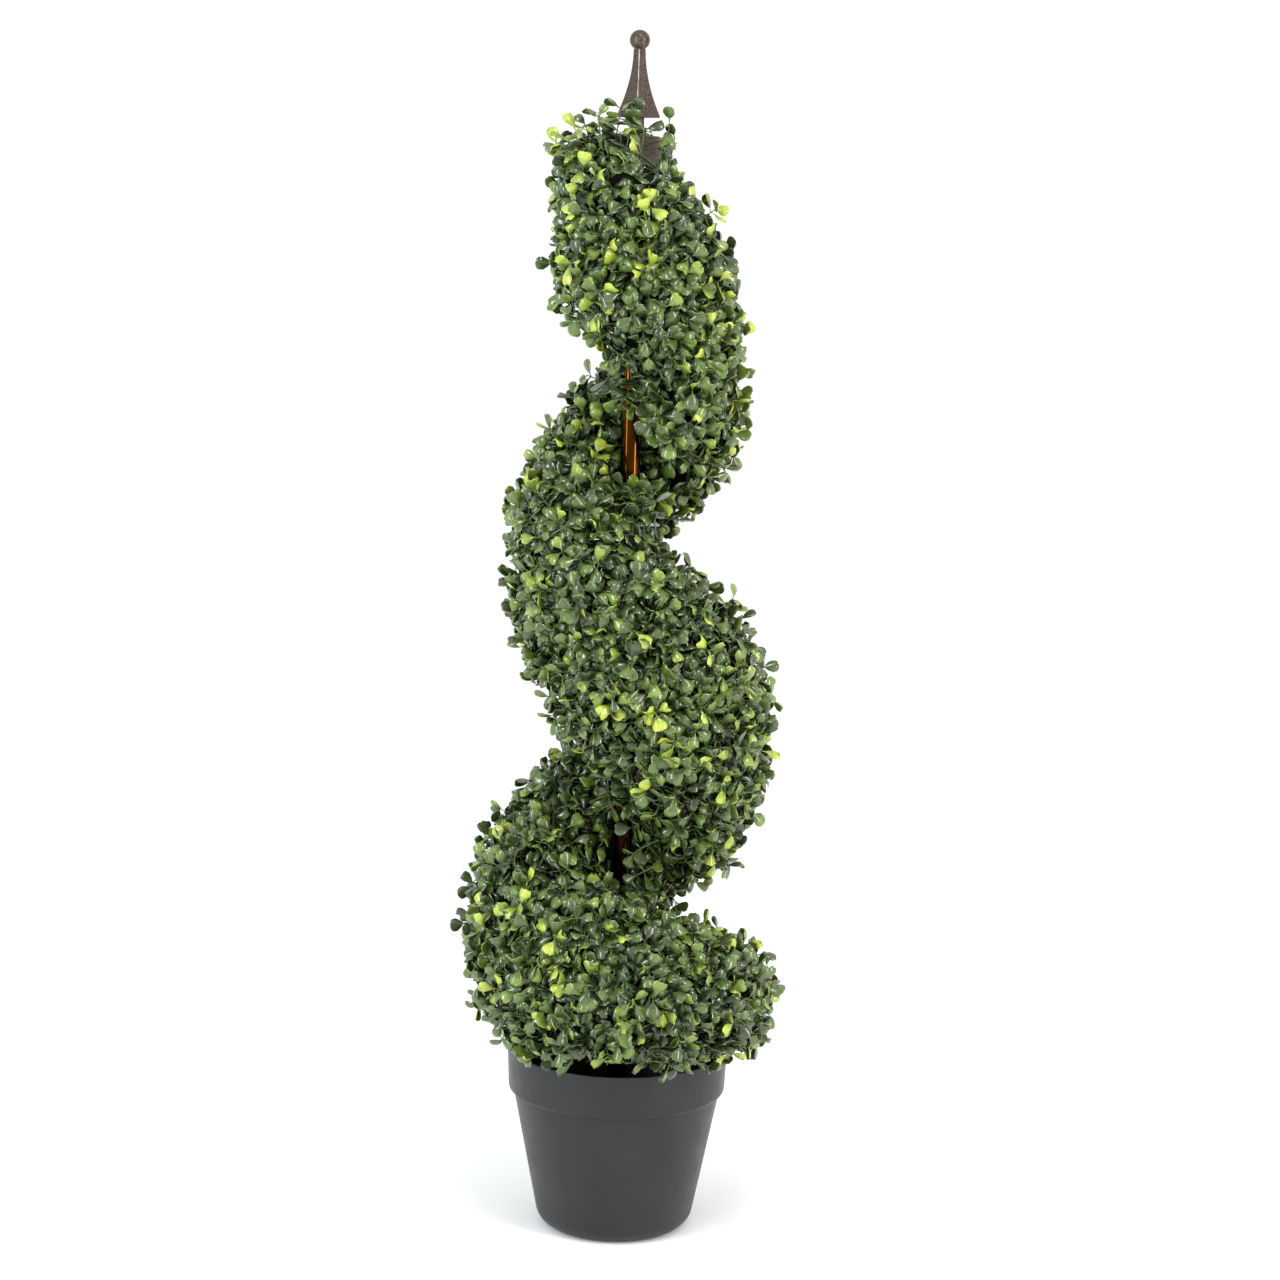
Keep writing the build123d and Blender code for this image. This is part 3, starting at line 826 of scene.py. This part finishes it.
def leaf_object(name, form, vertices, shade, materials):
    """One mesh of many closed leaves."""
    count = len(vertices)
    faces = form.faces[None] + (np.arange(count) * 2 * form.layer)[:, None, None]
    smooth = np.tile(form.kinds != "rim", count)
    tints = face_tints(form, shade).ravel()
    return mesh_object(name, vertices.reshape(-1, 3), faces.reshape(-1, 3), materials, tints, smooth)


STEM_SIDES = 5
STEM_STEPS = 5
FIRST_RING, STEM_END, STEM_START = -0.1, 1.03, -0.12  # as shares of a stem's length
FOOT_WIDTH, TAPER = 1.1, 0.45


def stem_object(name, base, axis, length, bend, material):
    """One mesh of all the bent stems of a mat, closed at both ends."""
    count = len(base)
    first = any_across(axis)
    second = np.cross(axis, first)
    rings = []
    for step in range(STEM_STEPS):
        share = np.full(count, FIRST_RING + (1 - FIRST_RING) * step / (STEM_STEPS - 1))
        middle = stem_point(base, axis, length, bend, share)
        radius = STEM_RADIUS * (FOOT_WIDTH - TAPER * step / (STEM_STEPS - 1))
        ring = [
            middle + radius * (first * math.cos(a) + second * math.sin(a))
            for a in np.linspace(0, 2 * math.pi, STEM_SIDES, endpoint=False)
        ]
        rings.append(np.stack(ring, 1))
    body = np.stack(rings, 1).reshape(count, STEM_STEPS * STEM_SIDES, 3)
    tip = stem_point(base, axis, length, bend, np.full(count, STEM_END))[:, None]
    foot = stem_point(base, axis, length, bend, np.full(count, STEM_START))[:, None]
    vertices = np.concatenate([body, tip, foot], axis=1)
    per_stem = vertices.shape[1]
    triangles = []
    for step in range(STEM_STEPS - 1):
        for side in range(STEM_SIDES):
            a, b = step * STEM_SIDES + side, step * STEM_SIDES + (side + 1) % STEM_SIDES
            triangles += [(a, b, b + STEM_SIDES), (a, b + STEM_SIDES, a + STEM_SIDES)]
    last = (STEM_STEPS - 1) * STEM_SIDES
    for side in range(STEM_SIDES):
        following = (side + 1) % STEM_SIDES
        triangles.append((last + side, last + following, per_stem - 2))
        triangles.append((following, side, per_stem - 1))
    faces = np.array(triangles)[None] + (np.arange(count) * per_stem)[:, None, None]
    return mesh_object(name, vertices.reshape(-1, 3), faces.reshape(-1, 3), [material])


BACKING_THICKNESS = 1.6 * MM
BACKING_RISE = 3 * MM  # above the feet of the sprigs
BACKING_SHARE = 0.9


def backing_object(name, centres, outlines, material):
    """The mat's woven backing, coloured near black as painted shade in the gaps between sprigs: a thin
    closed sleeve under the sprigs.
    """
    inward = unit(centres[:, None] - outlines)
    thickness = np.linalg.norm(centres[:, None] - outlines, axis=2)
    depth = np.minimum(LEAF_DEPTH - BACKING_RISE, thickness * MOST_DEPTH_SHARE * BACKING_SHARE)
    shallow = np.minimum(depth, TRUNK_SIDE_DEPTH - BACKING_RISE)
    depth = np.where(faces_trunk(np.arange(ANGLES))[None], shallow, depth)
    smoothed = (np.roll(depth, 1, 1) + 2 * depth + np.roll(depth, -1, 1)) / 4
    outer = outlines + inward * smoothed[..., None]
    inner = outer + inward * BACKING_THICKNESS
    rows = len(centres)
    vertices = np.concatenate([outer.reshape(-1, 3), inner.reshape(-1, 3)])
    half = rows * ANGLES
    quads = []
    for i in range(rows - 1):
        for j in range(ANGLES):
            k = (j + 1) % ANGLES
            a, b, c, d = i * ANGLES + j, i * ANGLES + k, (i + 1) * ANGLES + k, (i + 1) * ANGLES + j
            quads += [(a, b, c, d), (a + half, d + half, c + half, b + half)]
    for i in (0, rows - 1):
        for j in range(ANGLES):
            a, b = i * ANGLES + j, i * ANGLES + (j + 1) % ANGLES
            quads.append((b, a, a + half, b + half) if i == 0 else (a, b, b + half, a + half))
    return mesh_object(name, vertices, np.array(quads), [material])


# ------------------------------------------------------------------ foliage
def stand_in(piece, mat):
    """Puts one piece of foliage in the place of its CAD mat."""
    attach(piece, "tree")
    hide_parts(mat)


def scatter(mat, taken, spacing, reaches, lean, stray_share=0.0):
    """Stems of one mat's sprigs or fillers, and the places that the next mat's keep clear of."""
    row, column, held = spaced_places(*mat, taken, spacing)
    places, middle = surface_point(*mat, row, column)
    normals = surface_normal(*mat, row, column)
    bare = (places[:, 2] < BARE_UNDERSIDE_HEIGHT) & (normals[:, 2] < UNDERSIDE_SLOPE)
    column, places, middle, normals = (a[~bare] for a in (column, places, middle, normals))
    count = len(column)
    reach = RNG.uniform(*reaches, count)
    if stray_share:
        stray = RNG.random(count) < stray_share
        reach = np.where(stray, RNG.uniform(*STRAY_REACH, count), reach)
    trunk_side = faces_trunk(column)
    reach = np.where(trunk_side, RNG.uniform(*TRUNK_SIDE_REACH, count), reach)
    stems = grow_stems(places, middle, normals, trunk_side, reach, lean)
    return stems, held[-NEIGHBOURS:]


def dress_mat(name, mat, sprigs, fillers, tints, stem_green, backing_green):
    """Leaves, stems and backing in the place of one mat."""
    number = name[-2:]
    leaves = grow_leaves(sprigs, SPRIG_PAIRS, LEAF_LENGTH, 0.0)
    points = place_leaves(leaves, LEAF)
    clear = clear_of_parts(points)
    tips, sides = leaves["tip"] & clear, ~leaves["tip"] & clear
    shade = leaves["shade"]
    # The inner filler leaves are darker as painted shade deep in the foliage.
    dark_leaves = grow_leaves(fillers, FILLER_PAIRS, FILLER_LEAF_LENGTH, FILLER_PAINTED_SHADE)
    dark_points = place_leaves(dark_leaves, FILLER_LEAF)
    inner = clear_of_parts(dark_points)
    dark_points, dark_shade = dark_points[inner], dark_leaves["shade"][inner]
    ends = [stem_point(*sprigs[:4], np.full(len(sprigs[0]), s)) for s in (0.0, 0.5, 1.0)]
    kept = clear_of_parts(np.stack(ends, 1))
    pieces = [
        leaf_object(f"boxwood_tip_leaves_{number}", LEAF, points[tips], shade[tips], tints),
        leaf_object(f"boxwood_side_leaves_{number}", LEAF, points[sides], shade[sides], tints),
        leaf_object(f"boxwood_inner_leaves_{number}", FILLER_LEAF, dark_points, dark_shade, tints),
        stem_object(f"boxwood_stems_{number}", *(part[kept] for part in sprigs[:4]), stem_green),
        backing_object(f"mat_backing_{number}", *mat, backing_green),
    ]
    for piece in pieces:
        stand_in(piece, name)


def make_foliage():
    """Leaves, stems and backing for every foliage mat, and the bare twig."""
    tints = []
    for name, colour in TINTS.items():
        roughness = DULL_ROUGHNESS if name == "dull" else LEAF_ROUGHNESS
        tints.append(leaf_material(f"leaf_{name}", colour, roughness))
    stem_green = plain_material("stem_green", (0.060, 0.098, 0.036), 0.4)
    # The backing's green is darkened to near black as painted shade for the gaps between sprigs.
    backing_green = plain_material("backing_green_with_painted_shade", (0.007, 0.009, 0.005), 0.85, specular=0.08)
    taken, filled = np.empty((0, 3)), np.empty((0, 3))
    for name, mat in measure_strand().items():
        sprigs, taken = scatter(mat, taken, SPRIG_SPACING, TIP_REACH, LEAN, STRAY_SHARE)
        if name in HAND_SPRIGS:
            by_hand = hand_stems(HAND_SPRIGS[name])
            sprigs = [np.concatenate(pair) for pair in zip(sprigs, by_hand)]
        fillers, filled = scatter(mat, filled, FILLER_SPACING, FILLER_REACH, 2 * LEAN)
        dress_mat(name, mat, sprigs, fillers, tints, stem_green, backing_green)
    twig_brown = plain_material("twig_brown", (0.030, 0.024, 0.016), 0.5)
    twig = stem_object("boxwood_bare_twig", *hand_stems([BARE_TWIG])[:4], twig_brown)
    stand_in(twig, "foliage_mat_03")


# ------------------------------------------------------------------ carried-over parts
def dress_cad_parts():
    """Materials for the CAD parts that stay."""
    by_slot = {
        "grey_pot": pot_material(),
        "ballast_cement": ballast_material(),
        "lacquered_trunk": trunk_material(),
        "rusty_iron": rust_material(),
        "plain_steel": plain_material("zinc_plated_steel", (0.42, 0.42, 0.41), 0.35, 1.0),
        "collar_steel": plain_material("green_coated_steel", (0.022, 0.045, 0.020), 0.45),
        "frame_wire": plain_material("green_coated_wire", (0.016, 0.034, 0.015), 0.45),
        "tie_plastic": plain_material("green_tie_plastic", (0.018, 0.036, 0.016), 0.5),
    }
    # The spire gets a painted highlight along its ridges.
    spire_iron = rust_material("rusty_iron_painted_ridge_highlight", painted_ridge_highlight=True)
    for part in frame["record"]["subparts"]:
        material = by_slot.get(part["material_slot"])
        if material is None:
            continue
        mesh = frame["nodes"][part["node"]].data
        mesh.materials.clear()
        mesh.materials.append(spire_iron if part["node"] == "finial_spire" else material)


# ------------------------------------------------------------------ stage, lights, camera
FLOOR_HALF = 40.0
FLOOR_CELLS = 16


def make_stage():
    """A wide plain pale floor."""
    mat, tree, shader = new_material("pale_floor", 0.8, (0.93, 0.93, 0.93))
    bump(tree, shader, noise(tree, 30), 0.05, 0.001)
    cells = FLOOR_CELLS
    edge = np.linspace(-FLOOR_HALF, FLOOR_HALF, cells + 1)
    x, y = np.meshgrid(edge, edge)
    vertices = np.stack([x.ravel(), y.ravel(), np.zeros(x.size)], -1)
    corner = (np.arange(cells)[:, None] * (cells + 1) + np.arange(cells)[None]).ravel()
    faces = np.stack([corner, corner + 1, corner + cells + 2, corner + cells + 1], -1)
    floor = mesh_object("studio_floor", vertices, faces, [mat])


def area_light(name, place, target, width, height, watts, colour=(1, 1, 1)):
    """A softbox."""
    data = bpy.data.lights.new(name, "AREA")
    data.shape = "RECTANGLE"
    data.size = width
    data.size_y = height
    data.energy = watts
    data.color = colour
    obj = bpy.data.objects.new(name, data)
    obj.location = place
    obj.rotation_euler = (Vector(target) - Vector(place)).to_track_quat("-Z", "Y").to_euler()
    bpy.context.scene.collection.objects.link(obj)


ROOM_LIGHT = 1.08


def make_lights():
    """Softboxes left and right and a weak one above, in a white room."""
    middle = (0, 0, 0.6)
    area_light("softbox_left", (-2.15, -1.7, 1.25), middle, 0.42, 2.2, 57, (0.84, 0.95, 1.0))
    area_light("softbox_right", (2.15, -1.65, 1.25), middle, 0.42, 2.2, 54, (1.0, 0.98, 0.95))
    area_light("softbox_top", (0.2, -1.4, 3.0), middle, 0.6, 0.6, 24)
    world = bpy.data.worlds.new("white_room")
    bpy.context.scene.world = world
    world.use_nodes = True
    background = world.node_tree.nodes["Background"]
    background.inputs["Color"].default_value = (1, 1, 1, 1)
    background.inputs["Strength"].default_value = ROOM_LIGHT


CAMERA_DISTANCE = 2.8
CAMERA_HEIGHT = 1.042
CAMERA_SIDE = 0.0135
CAMERA_PITCH = math.radians(8.893)
CAMERA_ROLL = math.radians(1.33)
CAMERA_LENS = 79.9
SENSOR = 36.0


def make_camera():
    """The camera, a little above the middle of the tree, looking slightly down, and rolled a little."""
    data = bpy.data.cameras.new("camera")
    data.lens = CAMERA_LENS
    data.sensor_width = SENSOR
    data.clip_start = 0.05
    data.clip_end = 50
    obj = bpy.data.objects.new("camera", data)
    turn = Matrix.Rotation(math.pi / 2 - CAMERA_PITCH, 4, "X") @ Matrix.Rotation(CAMERA_ROLL, 4, "Z")
    obj.matrix_world = Matrix.Translation((CAMERA_SIDE, -CAMERA_DISTANCE, CAMERA_HEIGHT)) @ turn
    bpy.context.scene.collection.objects.link(obj)
    bpy.context.scene.camera = obj


make_camera()
make_foliage()
dress_cad_parts()
make_stage()
make_lights()
bpy.context.scene.view_settings.view_transform = "Standard"
